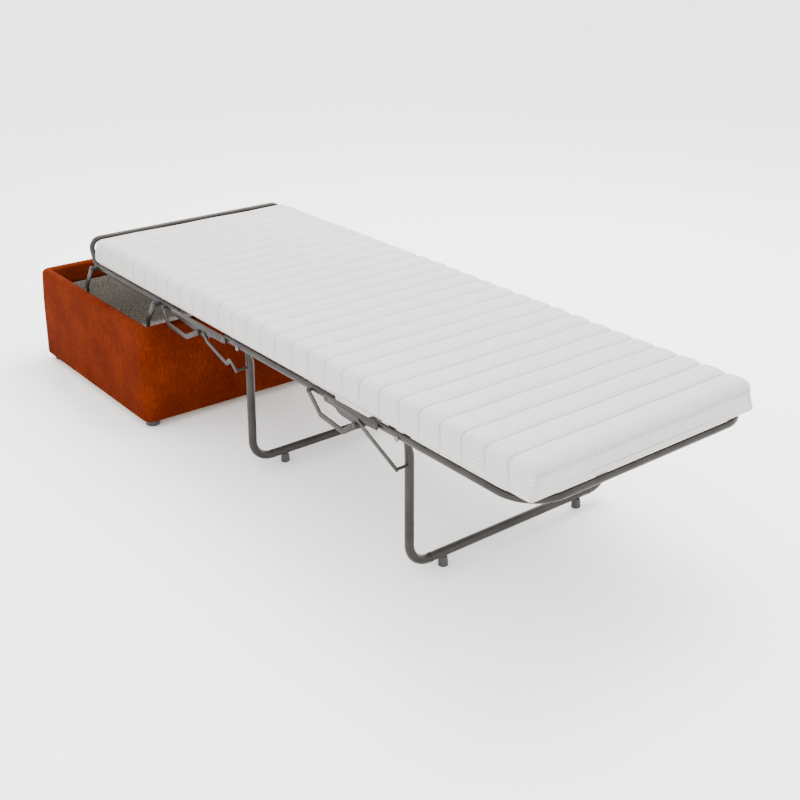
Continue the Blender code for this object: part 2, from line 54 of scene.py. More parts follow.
def ringShell(rings, closed=False):
    # quads between rings of points: closed joins the last ring to the first, and open ends get flat caps
    count, around = rings.shape[:2]
    verts = rings.reshape(-1, 3)
    i, j = np.meshgrid(np.arange(count if closed else count - 1), np.arange(around), indexing="ij")
    beside, beyond = (j + 1) % around, (i + 1) % count
    corners = [i * around + j, i * around + beside, beyond * around + beside, beyond * around + j]
    quads = np.stack(corners, -1).reshape(-1, 4)
    a, b, c, d = (verts[quads[:, n]] for n in range(4))
    outward = np.einsum("ij,ij->i", (a + b + c + d) / 4 - verts.mean(0), np.cross(c - a, d - b)).sum()
    faces = quads.tolist()
    if not closed:
        faces += [list(range(around))[::-1], list(range((count - 1) * around, count * around))]
    if outward < 0:
        faces = [face[::-1] for face in faces]
    return verts, faces


def makePiece(name, shells, look, replaced, uv=None, sharp=40):
    verts, faces, start = [], [], 0
    for points, polygons in shells:
        verts.append(points)
        faces += [[n + start for n in polygon] for polygon in polygons]
        start += len(points)
    mesh = bpy.data.meshes.new(name)
    mesh.from_pydata(np.concatenate(verts).tolist(), [], faces)
    mesh.update()
    if uv is not None:
        layer = mesh.uv_layers.new(name="cloth")
        loops = np.empty(len(mesh.loops), np.int32)
        mesh.loops.foreach_get("vertex_index", loops)
        layer.data.foreach_set("uv", uv[loops].astype(np.float32).ravel())
    mesh.shade_smooth()
    mesh.set_sharp_from_angle(angle=math.radians(sharp))
    obj = bpy.data.objects.new(name, mesh)
    bpy.context.scene.collection.objects.link(obj)
    mesh.materials.append(look)
    if replaced:
        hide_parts(*replaced)
    return obj


def roundedPath(corners, radius, steps=10):
    # straight runs with an arc of that radius at each inner corner
    corners = [np.array(c, float) for c in corners]
    path = [corners[0][None]]
    for before, corner, after in zip(corners, corners[1:], corners[2:]):
        back, ahead = unit(before - corner), unit(after - corner)
        half = math.acos(np.clip(back @ ahead, -1, 1)) / 2
        centre = corner + unit(back + ahead) * radius / math.sin(half)
        first = corner + back * radius / math.tan(half) - centre
        last = corner + ahead * radius / math.tan(half) - centre
        turn = math.pi - 2 * half
        share = np.linspace(0, 1, steps + 1)[:, None]
        arc = first * np.sin((1 - share) * turn) + last * np.sin(share * turn)
        path.append(centre + arc / math.sin(turn))
    path.append(corners[-1][None])
    return np.concatenate(path)


def tubeShell(path, radius, ref, sides=28, squeeze=None):
    # a ring square to the path at each point, with low domes for ends
    # squeeze turns the distance to the nearer end into (width, thickness, shift outwards), to flatten it
    path = np.asarray(path, float)
    along = unit(np.gradient(path, axis=0))
    steps = np.linalg.norm(np.diff(path, axis=0), axis=1)
    run = np.concatenate([[0], np.cumsum(steps)])
    dome = np.radians(np.array([25.0, 50.0, 72.0, 86.0]))
    rings, domeShare = len(dome), 0.45
    low = path[0] - along[0] * radius * domeShare * np.sin(dome[::-1])[:, None]
    high = path[-1] + along[-1] * radius * domeShare * np.sin(dome)[:, None]
    points = np.concatenate([low, path, high])
    along = np.concatenate([np.repeat(along[:1], rings, 0), along, np.repeat(along[-1:], rings, 0)])
    share = np.concatenate([np.cos(dome[::-1]), np.ones(len(path)), np.cos(dome)])
    ends = np.concatenate([np.zeros(rings), np.minimum(run, run[-1] - run), np.zeros(rings)])
    across = unit(np.cross(along, np.array(ref, float)))
    up = np.cross(across, along)
    turn = 2 * np.pi * np.arange(sides) / sides
    wide, thin, shift = np.ones(len(points)), np.ones(len(points)), np.zeros(len(points))
    if squeeze:
        wide, thin, shift = squeeze(ends)
    spoke = (thin[:, None] * np.cos(turn))[..., None] * across[:, None]
    spoke = spoke + (wide[:, None] * np.sin(turn))[..., None] * up[:, None]
    middle = points + shift[:, None] * np.array([0, 1.0, 0]) * np.sign(points[:, 1:2])
    return ringShell(middle[:, None] + radius * share[:, None, None] * spoke)


def straight(start, end, parts=2):
    return np.linspace(start, end, parts + 1)


def strapOutline(path, half, steps=10):
    # both sides of a bent line at an even distance, and a half circle at each end
    path = np.asarray(path, float)
    heading = unit(np.gradient(path, axis=0))
    side = np.stack([-heading[:, 1], heading[:, 0]], -1)
    before, after = unit(path[1:-1] - path[:-2]), unit(path[2:] - path[1:-1])
    reach = np.ones(len(path))
    reach[1:-1] = 1 / np.maximum(0.7, np.sqrt((1 + (before * after).sum(1)) / 2))
    left, right = path + side * half * reach[:, None], path - side * half * reach[:, None]
    first, last = math.atan2(*heading[0][::-1]), math.atan2(*heading[-1][::-1])
    a = np.linspace(math.pi / 2, 3 * math.pi / 2, steps)[1:-1] + first
    b = np.linspace(-math.pi / 2, math.pi / 2, steps)[1:-1] + last
    start = path[0] + half * np.stack([np.cos(a), np.sin(a)], -1)
    end = path[-1] + half * np.stack([np.cos(b), np.sin(b)], -1)
    return np.concatenate([left[:1], start, right, end, left[:0:-1]])


def insetOutline(outline, amount):
    ahead, back = unit(np.roll(outline, -1, 0) - outline), unit(outline - np.roll(outline, 1, 0))
    area = (outline[:, 0] * np.roll(outline[:, 1], -1) - np.roll(outline[:, 0], -1) * outline[:, 1]).sum()
    heading = unit(ahead + back)
    return outline + np.sign(area) * amount * np.stack([-heading[:, 1], heading[:, 0]], -1)


def plateShell(outline, side, layer, edge=0.0005):
    # the outline at six heights, drawn in at the faces so that the edges are rounded off
    inner, outer = layer
    levels = ((inner, edge), (inner + edge * 0.4, edge * 0.3), (inner + edge, 0),
              (outer - edge, 0), (outer - edge * 0.4, edge * 0.3), (outer, edge))
    rings = []
    for y, inset in levels:
        flat = insetOutline(outline, inset)
        rings.append(np.stack([flat[:, 0], np.full(len(flat), side * y), flat[:, 1]], -1))
    return ringShell(np.array(rings))


def turnedShell(centre, profile, side=1, axis="y", around=24):
    # a profile of (radius, distance along the axis) turned about it
    profile = np.array(profile, float)
    turn = 2 * np.pi * np.arange(around) / around
    u, v = profile[:, :1] * np.cos(turn), profile[:, :1] * np.sin(turn)
    w = np.repeat(profile[:, 1:], around, 1)
    if axis == "y":
        return ringShell(np.stack([centre[0] + u, side * w, centre[1] + v], -1))
    return ringShell(np.stack([centre[0] + u, centre[1] + v, w], -1))


def rivet(place, side, start, end, radius):
    # a low dome on a short shank
    tall = end - start
    profile = [(radius * 0.98, start), (radius, start + tall * 0.25), (radius * 0.94, start + tall * 0.55),
               (radius * 0.72, start + tall * 0.85), (radius * 0.35, end), (0.0003, end)]
    return turnedShell(place, profile, side)


def pinShell(place, side, start, end, radius):
    # a plain pin with a small bevel at each end
    bevel, narrow = 0.0004, radius * 0.85
    profile = [(narrow, start), (radius, start + bevel), (radius, end - bevel), (narrow, end)]
    return turnedShell(place, profile, side)


def arcPoints(cx, cz, radius, start, end, count):
    a = np.radians(np.linspace(start, end, count))
    return np.stack([cx + radius * np.cos(a), cz + radius * np.sin(a)], -1)


def newLook(name, constants):
    # a material with its fixed sockets set on the shader itself
    look = bpy.data.materials.new(name)
    look.use_nodes = True
    tree = look.node_tree
    shader = tree.nodes["Principled BSDF"]
    for label, value in constants.items():
        shader.inputs[label].default_value = value
    return look, tree, shader


def objectPlace(tree):
    return tree.nodes.new("ShaderNodeTexCoord").outputs["Object"]


def maths(tree, operation, a, b=0.0, c=0.0):
    made = tree.nodes.new("ShaderNodeMath")
    made.operation = operation
    for slot, value in zip(made.inputs, (a, b, c)):
        if isinstance(value, (int, float)):
            slot.default_value = value
        else:
            tree.links.new(value, slot)
    return made.outputs[0]


def ramp(tree, factor, stops):
    made = tree.nodes.new("ShaderNodeValToRGB")
    made.color_ramp.elements[0].position, made.color_ramp.elements[1].position = stops[0][0], stops[-1][0]
    for place, colour in stops[1:-1]:
        made.color_ramp.elements.new(place)
    for element, (place, colour) in zip(made.color_ramp.elements, stops):
        element.position = place
        element.color = (*colour, 1)
    tree.links.new(factor, made.inputs[0])
    return made.outputs[0]


def newGroup(name, outputs):
    # a group that turns one vector into plain values
    group = bpy.data.node_groups.new(name, "ShaderNodeTree")
    group.interface.new_socket("Vector", in_out="INPUT", socket_type="NodeSocketVector")
    for label in outputs:
        group.interface.new_socket(label, in_out="OUTPUT", socket_type="NodeSocketFloat")
    return group, group.nodes.new("NodeGroupInput").outputs[0], group.nodes.new("NodeGroupOutput").inputs


def noise(tree, vector, scale, detail=3.0, stretch=None):
    if stretch:
        spread = tree.nodes.new("ShaderNodeMapping")
        spread.inputs["Scale"].default_value = stretch
        tree.links.new(vector, spread.inputs["Vector"])
        vector = spread.outputs[0]
    made = tree.nodes.new("ShaderNodeTexNoise")
    made.inputs["Scale"].default_value = scale
    made.inputs["Detail"].default_value = detail
    tree.links.new(vector, made.inputs["Vector"])
    return made.outputs["Fac"]


def weighted(tree, *terms):
    # the sum of value times weight
    total = None
    for value, weight in terms:
        part = maths(tree, "MULTIPLY", value, weight)
        total = maths(tree, "ADD", total, part) if total else part
    return total


def bump(tree, shader, height, strength, distance):
    made = tree.nodes.new("ShaderNodeBump")
    made.inputs["Strength"].default_value = strength
    made.inputs["Distance"].default_value = distance
    tree.links.new(height, made.inputs["Height"])
    tree.links.new(made.outputs[0], shader.inputs["Normal"])


def paint(tree, shader, factor, stops):
    tree.links.new(ramp(tree, factor, stops), shader.inputs["Base Color"])


def gloss(tree, shader, smear, spread, least):
    # roughness from least upwards, by the smear
    tree.links.new(maths(tree, "MULTIPLY_ADD", smear, spread, least), shader.inputs["Roughness"])


# slubs: upright streaks of pile, from noise drawn out along Z, with a finer fleck and a slow cloud over it
slubs, place, out = newGroup("slubs", ("Tone", "Height"))
streak = noise(slubs, place, 1.0, 3.0, (430, 430, 62))
fleck = noise(slubs, place, 900.0, 2.0)
cloud = noise(slubs, place, 9.0, 3.0)
slubs.links.new(weighted(slubs, (streak, 0.48), (fleck, 0.26), (cloud, 0.32)), out[0])
slubs.links.new(weighted(slubs, (streak, 0.7), (fleck, 0.3)), out[1])

# the quilting: one seam across the bed is at groove, and the others at every pitch from it
quilting = {"groove": 1.005, "pitch": 0.069}

# knit: columns of small chevrons across v, zigzagging along u, in metres
knitSize = {"chevron": 0.0062, "column": 0.0084, "slant": 2.6, "rows": 0.226, "stagger": 0.207, "eye": 0.0030,
            "rim": 0.0055, "petal": 0.0085, "petals": 5, "seamShade": 22.0}
knit, place, out = newGroup("knit", ("Tone", "Height", "Seam"))
parts = knit.nodes.new("ShaderNodeSeparateXYZ")
knit.links.new(place, parts.inputs[0])
u, v = parts.outputs[0], parts.outputs[1]
zigzag = maths(knit, "PINGPONG", maths(knit, "MULTIPLY", u, 1 / knitSize["chevron"]), 1.0)
phase = weighted(knit, (v, 2 * math.pi / knitSize["column"]), (zigzag, knitSize["slant"]))
wave = maths(knit, "MULTIPLY_ADD", maths(knit, "SINE", phase), 0.5, 0.5)
soft = noise(knit, place, 26.0, 2.0)
# a faint rosette about every 0.21 m, staggered from row to row: five petals round a small eye
row = maths(knit, "DIVIDE", v, knitSize["rows"])
wholeRow = maths(knit, "FLOOR", row)
along = maths(knit, "MULTIPLY_ADD", wholeRow, 0.5, maths(knit, "DIVIDE", u, knitSize["stagger"]))
a, b = (
    maths(knit, "MULTIPLY", maths(knit, "SUBTRACT", maths(knit, "FRACT", spot), 0.5), knitSize[spacing])
    for spot, spacing in ((along, "stagger"), (row, "rows"))
)
far = maths(knit, "SQRT", maths(knit, "ADD", maths(knit, "MULTIPLY", a, a), maths(knit, "MULTIPLY", b, b)))
turned = maths(knit, "MULTIPLY", maths(knit, "ARCTAN2", a, b), knitSize["petals"] / 2)
petal = maths(knit, "ABSOLUTE", maths(knit, "COSINE", turned))
edge = maths(knit, "MULTIPLY_ADD", petal, knitSize["petal"], knitSize["rim"])
within = maths(knit, "LESS_THAN", far, edge)
motif = maths(knit, "MULTIPLY", within, maths(knit, "GREATER_THAN", far, knitSize["eye"]))
knit.links.new(weighted(knit, (wave, 0.75), (soft, 0.35), (motif, 0.45)), out[0])
knit.links.new(maths(knit, "MAXIMUM", wave, maths(knit, "MULTIPLY", motif, 0.9)), out[1])
# painted shade: a mask that is full in each stitched groove and falls to nothing a short way either side
fromSeam = maths(knit, "MULTIPLY", maths(knit, "SUBTRACT", u, quilting["groove"]), 1 / quilting["pitch"])
fromSeam = maths(knit, "MULTIPLY", maths(knit, "PINGPONG", fromSeam, 0.5), knitSize["seamShade"])
knit.links.new(maths(knit, "SUBTRACT", 1.0, maths(knit, "MINIMUM", fromSeam, 1.0)), out[2])

# handled: faint smears and specks for paint and rubber
handled, place, out = newGroup("handled", ("Smear", "Speck"))
handled.links.new(noise(handled, place, 14.0, 5.0), out[0])
handled.links.new(noise(handled, place, 1400.0, 1.0), out[1])


def useGroup(tree, group, uvName=None):
    # the group's outputs, read at the piece's own coordinates or its UV
    made = tree.nodes.new("ShaderNodeGroup")
    made.node_tree = group
    if uvName:
        uv = tree.nodes.new("ShaderNodeUVMap")
        uv.uv_map = uvName
        tree.links.new(uv.outputs[0], made.inputs[0])
    else:
        tree.links.new(objectPlace(tree), made.inputs[0])
    return made.outputs


rust, tree, shader = newLook("rustChenille", {
    "Roughness": 0.92, "Specular IOR Level": 0.03,
    "Sheen Weight": 0.008, "Sheen Roughness": 0.45, "Sheen Tint": (0.60, 0.20, 0.09, 1),
})
tone, height = useGroup(tree, slubs)
paint(tree, shader, tone, [(0.36, (0.038, 0.0030, 0.0002)), (0.53, (0.072, 0.0074, 0.0005)),
                           (0.70, (0.122, 0.0168, 0.0014))])
bump(tree, shader, height, 0.7, 0.0016)

felt, tree, shader = newLook("greyFelt", {"Roughness": 0.95})
fibre = noise(tree, objectPlace(tree), 260.0, 6.0)
paint(tree, shader, fibre, [(0.34, (0.062, 0.054, 0.043)), (0.50, (0.120, 0.108, 0.090)),
                            (0.68, (0.212, 0.197, 0.169))])
bump(tree, shader, fibre, 0.6, 0.0012)

steel, tree, shader = newLook("greySteel", {"Metallic": 0.45, "Specular IOR Level": 0.22})
smear, speck = useGroup(tree, handled)
paint(tree, shader, smear, [(0.35, (0.022, 0.0195, 0.018)), (0.65, (0.034, 0.0305, 0.0285))])
gloss(tree, shader, smear, 0.16, 0.25)
bump(tree, shader, speck, 0.08, 0.0002)

bolt, tree, shader = newLook("boltSteel", {"Metallic": 0.95})
smear, speck = useGroup(tree, handled)
paint(tree, shader, smear, [(0.3, (0.10, 0.095, 0.09)), (0.7, (0.17, 0.16, 0.15))])
gloss(tree, shader, smear, 0.2, 0.2)

rubber, tree, shader = newLook("blackRubber", {})
smear, speck = useGroup(tree, handled)
paint(tree, shader, smear, [(0.3, (0.012, 0.012, 0.012)), (0.7, (0.030, 0.029, 0.028))])
gloss(tree, shader, smear, 0.2, 0.55)
bump(tree, shader, speck, 0.2, 0.0003)

white, tree, shader = newLook("quiltedKnit", {"Roughness": 0.9, "Sheen Weight": 0.08})
# the third output is the painted shade of the stitched grooves
tone, height, seamShade = useGroup(tree, knit, "cloth")
cloth = ramp(tree, tone, [(0.1, (0.385, 0.372, 0.360)), (0.6, (0.462, 0.450, 0.439)),
                          (1.0, (0.502, 0.490, 0.480))])
mix = tree.nodes.new("ShaderNodeMix")  # painted shade: darker along the stitched grooves
mix.data_type, mix.blend_type = "RGBA", "MULTIPLY"
mix.inputs[7].default_value = (0.80, 0.79, 0.78, 1)
tree.links.new(maths(tree, "MULTIPLY", seamShade, 0.85), mix.inputs[0])
tree.links.new(cloth, mix.inputs[6])
tree.links.new(mix.outputs[2], shader.inputs["Base Color"])
bump(tree, shader, height, 0.45, 0.0009)

pine, tree, shader = newLook("pineBoard", {"Roughness": 0.62})
grain = noise(tree, objectPlace(tree), 1.0, 6.0, (90, 9, 90))
paint(tree, shader, grain, [(0.35, (0.38, 0.24, 0.12)), (0.65, (0.66, 0.50, 0.31))])
bump(tree, shader, grain, 0.2, 0.0006)
print("looks made")

box = {"back": -1.082, "front": -0.373, "half": 0.425, "top": 0.304, "under": 0.0235, "corner": 0.030,
       "bulge": 0.0022, "waves": 0.0009, "flap": 0.060}


def boxPlan(inset, corner, steps=10, straightSteps=24):
    # the box's plan drawn in by an inset, corners rounded, points evenly spread on the straights
    low = np.array([box["back"] + inset, -box["half"] + inset])
    high = np.array([box["front"] - inset, box["half"] - inset])
    spots = [(high[0] - corner, high[1] - corner, 0), (low[0] + corner, high[1] - corner, 90),
             (low[0] + corner, low[1] + corner, 180), (high[0] - corner, low[1] + corner, 270)]
    arcs = [arcPoints(x, y, corner, start, start + 90, steps + 1) for x, y, start in spots]
    share = np.linspace(0, 1, straightSteps + 1)[1:-1, None]
    runs = []
    for arc, following in zip(arcs, arcs[1:] + arcs[:1]):
        runs.append(np.concatenate([arc, arc[-1] + (following[0] - arc[-1]) * share]))
    return np.concatenate(runs)


def boxRings(profile, corner, least):
    # the plan once for each (inset, height) of the profile
    rings = []
    for inset, height in profile:
        plan = boxPlan(inset, max(corner - inset, least))
        rings.append(np.concatenate([plan, np.full((len(plan), 1), height)], 1))
    return np.array(rings)


top, under = box["top"], box["under"]
outer = np.stack([np.zeros(22), np.linspace(under + 0.004, top - 0.016, 22)], -1)
# the padding stands out a little between top and bottom
outer[:, 0] -= box["bulge"] * np.sin(np.linspace(0, math.pi, 22))
profile = np.concatenate([
    [(0.010, under), (0.004, under), (0.0012, under + 0.001)],
    outer,
    arcPoints(0.0145, top - 0.0145, 0.0145, 180, 90, 9)[1:],
    arcPoints(0.0225, top - 0.0091, 0.0091, 90, 0, 7),
    np.stack([np.full(7, 0.0316), np.linspace(top - 0.016, top - box["flap"] + 0.002, 7)], -1),
    [(0.0300, top - box["flap"]), (0.0266, top - box["flap"]), (0.0266, top - 0.010), (0.010, top - 0.010)],
])
rings = boxRings(profile, box["corner"], 0.003)
# soft unevenness: slow waves along the outer walls, strongest in the middle of their height
wavy = np.sin(rings[..., 0] * 21 + 1.3) * np.sin(rings[..., 1] * 17 + rings[..., 2] * 25) * box["waves"]
tall = np.clip((rings[..., 2] - under) / (top - under), 0, 1)
centre = np.array([(box["back"] + box["front"]) / 2, 0])
heading = unit(rings[..., :2] - centre)
isOuter = (profile[:, 0] < 0.003)[:, None, None]
rings[..., :2] += heading * (wavy * np.sin(tall * math.pi))[..., None] * isOuter
cover = makePiece("softCover", [ringShell(rings, True)], rust, ["fabric_cover"], sharp=60)
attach(cover, "box")

# the lining: from the middle of its floor out, up the wall, over and down its back, and in again underneath
tray = {"low": 0.0358, "top": top - 0.0603, "thick": 0.005, "wall": 0.0316, "back": 0.0266}
low, high, floorZ = tray["low"], tray["top"], tray["low"] + tray["thick"]
section = [(0.30, floorZ), (0.20, floorZ), (0.10, floorZ), (0.0400, low + 0.0052), (0.0345, low + 0.0065),
           (0.0322, low + 0.0095), (tray["wall"], low + 0.014)]
for wave, height in zip(np.linspace(0, 9, 10), np.linspace(low + 0.03, high - 0.004, 10)):
    section.append((tray["wall"] - 0.0006 * math.sin(wave), height))
section += [(0.0308, high), (0.0274, high), (tray["back"], high - 0.003), (tray["back"], low)]
section += [(0.10, low), (0.30, low)]
shell = ringShell(boxRings(section, 0.036, 0.004))
lining = makePiece("feltTray", [shell], felt, ["felt_lining"])
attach(lining, "box")

for name in ("back_panel", "front_panel", "left_panel", "right_panel", "bottom_panel"):
    nodes[name].data.materials.clear()
    nodes[name].data.materials.append(pine)

glide = {"ends": (("rear", -1.042), ("front", -0.413)), "y": 0.389,
         "profile": [(0.006, 0.0), (0.017, 0.0), (0.0188, 0.0012), (0.0195, 0.004),
                     (0.0232, 0.0185), (0.0236, 0.0222), (0.0225, 0.0232), (0.006, 0.0232)]}
for end, x in glide["ends"]:
    for name, side in sides:
        shell = turnedShell((x, side * glide["y"]), glide["profile"], axis="z", around=32)
        foot = makePiece(f"glide_{end}_{name}", [shell], rubber, [f"box_foot_{end}_{name}"])
        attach(foot, "box")
print("box made")

railZ, railY, railRadius = 0.3625, 0.343, 0.008
hinge1, hinge2 = (-0.320, -0.050), (0.412, 0.600)
overrun = 0.012  # how far a rail runs past its last pivot
bar = {"x": -0.861, "z": 0.436, "rise": -0.822, "bend": 0.034}
near = hinge1[0] + overrun
path = [(near, -railY, railZ), (bar["rise"], -railY, railZ), (bar["x"], -railY, bar["z"]),
        (bar["x"], railY, bar["z"]), (bar["rise"], railY, railZ), (near, railY, railZ)]
shell = tubeShell(roundedPath(path, bar["bend"]), railRadius, (0.3, 0, 1))
headFrame = makePiece("headTube", [shell], steel, ["head_frame"])
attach(headFrame, "head_section")

footX, footBend = 1.074, 0.090
near = hinge2[1] - overrun
path = [(near, -railY, railZ), (footX, -railY, railZ), (footX, railY, railZ), (near, railY, railZ)]
shell = tubeShell(roundedPath(path, footBend, 18), railRadius, (0, 0, 1))
footFrame = makePiece("footTube", [shell], steel, ["foot_frame"])
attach(footFrame, "foot_section")

for name, side in sides:
    line = straight((hinge1[1] - overrun, side * railY, railZ), (hinge2[0] + overrun, side * railY, railZ), 6)
    shell = tubeShell(line, railRadius, (0, 0, 1))
    rail = makePiece("middleRail_" + name, [shell], steel, ["middle_rail_" + name])
    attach(rail, "middle_section")

cross = {"half": 0.3344, "radius": railRadius - 0.0001}
for name, x, body in (("head", -0.350, "head_section"), ("middle", -0.025, "middle_section"),
                      ("foot", 0.628, "foot_section")):
    line = straight((x, -cross["half"], railZ), (x, cross["half"], railZ), 6)
    shell = tubeShell(line, cross["radius"], (0, 0, 1))
    crossTube = makePiece(name + "CrossTube", [shell], steel, [name + "_cross_tube"])
    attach(crossTube, body)

# welded mesh: round wires both ways, pressed flush where they cross, shorter inside the rounded foot corners
mesh = {"z": railZ + 0.0080, "spacing": 0.048, "half": 0.3270, "footHalf": 0.300, "footFrom": 1.0,
        "footEnd": 1.035, "along": 14, "sides": 10}
for name, low, high, body, replaced in (
    ("head", -0.815, hinge1[0] - 0.004, "head_section", "head_mesh"),
    ("middle", hinge1[1] + 0.004, hinge2[0] - 0.004, "middle_section", "middle_mesh"),
    ("foot", hinge2[1] + 0.004, footX - 0.040, "foot_section", "foot_mesh"),
):
    shells = []
    for x in np.linspace(low + 0.002, high - 0.002, int(round((high - low) / mesh["spacing"])) + 1):
        reach = mesh["half"] if x < mesh["footFrom"] else mesh["footHalf"]
        line = straight((x, -reach, mesh["z"]), (x, reach, mesh["z"]), 4)
        shells.append(tubeShell(line, 0.0012, (0, 0, 1), mesh["sides"]))
    for y in np.linspace(-0.326, 0.326, mesh["along"]):
        far = high if abs(y) < 0.29 else min(high, mesh["footEnd"])
        line = straight((low, y, mesh["z"] + 0.0002), (far, y, mesh["z"] + 0.0002), 4)
        shells.append(tubeShell(line, 0.0010, (0, 0, 1), mesh["sides"]))
    wires = makePiece(name + "Wires", shells, steel, [replaced])
    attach(wires, body)

leg = {"drop": 0.004, "top": 0.006, "y": 0.3165, "radius": 0.011, "corner": 0.055, "pad": 0.0235,
       "joint": (0.2520, 0.2600), "padY": 0.217}
legX = {1: 0.015, 2: 0.673}
padProfile = [(0.004, 0.0), (0.0102, 0.0), (0.0116, 0.0010), (0.0120, 0.0030),
              (0.0113, 0.0150), (0.0104, 0.0215), (0.0092, 0.0245), (0.004, 0.0245)]


def flattened(ends):
    # pressed flat over the top 20 mm, and round again by 50 mm
    share = 1 - np.clip((ends - 0.020) / 0.030, 0, 1)
    share = share * share * (3 - 2 * share)
    return 1 + 0.22 * share, 1 - 0.70 * share, 0.0072 * share


for number, x in legX.items():
    pivot, low, y = railZ - leg["drop"], leg["pad"] + leg["radius"], leg["y"]
    high = pivot + leg["top"]
    path = roundedPath([(x, -y, high), (x, -y, low), (x, y, low), (x, y, high)], leg["corner"], 16)
    # more rings down both uprights, for the flattened tops
    share = np.linspace(0, 1, 22)[1:-1, None]
    first, last = path[:1] + (path[1:2] - path[:1]) * share, path[-2:-1] + (path[-1:] - path[-2:-1]) * share
    path = np.concatenate([path[:1], first, path[1:-1], last, path[-1:]])
    shells = [tubeShell(path, leg["radius"], (1, 0, 0), 32, flattened)]
    for side in (-1, 1):  # the swaged joints near each end of the foot bar
        ring = straight((x, side * leg["joint"][0], low), (x, side * leg["joint"][1], low), 3)
        shells.append(tubeShell(ring, leg["radius"] + 0.0006, (1, 0, 0), 32))
    loop = makePiece(f"legLoop{number}", shells, steel, [f"leg_{number}_tube"])
    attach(loop, f"leg_{number}")
    for name, side in sides:
        shell = turnedShell((x, side * leg["padY"]), padProfile, axis="z")
        replaced = [f"leg_{number}_pad_{name}"]
        pad = makePiece(f"legPad{number}_{name}", [shell], rubber, replaced)
        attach(pad, f"leg_{number}")
        shank = pinShell((x, pivot), side, 0.3235, 0.3530, 0.0036)
        shells = [shank, rivet((x, pivot), side, 0.3512, 0.3556, 0.0068)]
        replaced = [f"leg_{number}_bolt_{name}"]
        legBolt = makePiece(f"legBolt{number}_{name}", shells, bolt, replaced)
        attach(legBolt, "middle_section" if number == 1 else "foot_section")
print("frames and legs made")

# the flat steel parts lie in layers, as (inner, outer) distances from the middle of the bed
layers = {"plate": (0.3525, 0.3555), "rod": (0.3565, 0.3589), "link": (0.3594, 0.3630),
          "arm": (0.3680, 0.3720), "bracket": (0.3885, 0.3925)}
plateIn, plateOut = layers["plate"]
rodIn, rodOut = layers["rod"]
linkIn, linkOut = layers["link"]
armIn, armOut = layers["arm"]
pin = {"end": 0.3335, "radius": 0.0036, "seat": 0.001}  # seat: how far a pin runs into the strap it carries
sink = 0.0005  # how deep a rivet's head starts inside its strap


def softened(outline, times=2):
    # each corner is cut at 0.18 of its two edges, which rounds a stamped outline
    near, far = 0.82, 0.18
    for _ in range(times):
        ahead = np.roll(outline, -1, 0)
        outline = np.stack([near * outline + far * ahead, far * outline + near * ahead], 1).reshape(-1, 2)
    return outline


plateShapes = {
    1: [(0.05, -0.012), (0.085, -0.017), (0.155, -0.022), (0.172, -0.026), (0.192, -0.021), (0.205, -0.0105)],
    2: [(0.034, -0.0095), (0.052, -0.021), (0.112, -0.024), (0.130, -0.024), (0.150, -0.0105)],
}
linkBends = {
    1: [(0, 0), (0.030, -0.041), (0.129, -0.047), (0.192, -0.016)],
    2: [(0, 0), (0.048, -0.0445), (0.1385, -0.054), (0.183, -0.022)],
}
linkPivots = {1: (hinge1[0] - 0.045, railZ), 2: (hinge2[0] - 0.062, railZ)}
bosses = {1: (hinge1[1] - 0.0976, railZ - 0.012), 2: (hinge2[1] - 0.060, railZ - 0.011)}
rodEnds = {1: (0.015, railZ - 0.004 - 0.0595), 2: (0.679, railZ - 0.004 - 0.0685)}
strap = {"bend": 0.012, "link": 0.0070, "rod": 0.0060, "rib": 0.0034}  # radius of the bends, and half widths
ribLine = [(0.16, -0.0015), (0.42, -0.0035), (0.68, -0.0045)]  # share of the plate's length, and height

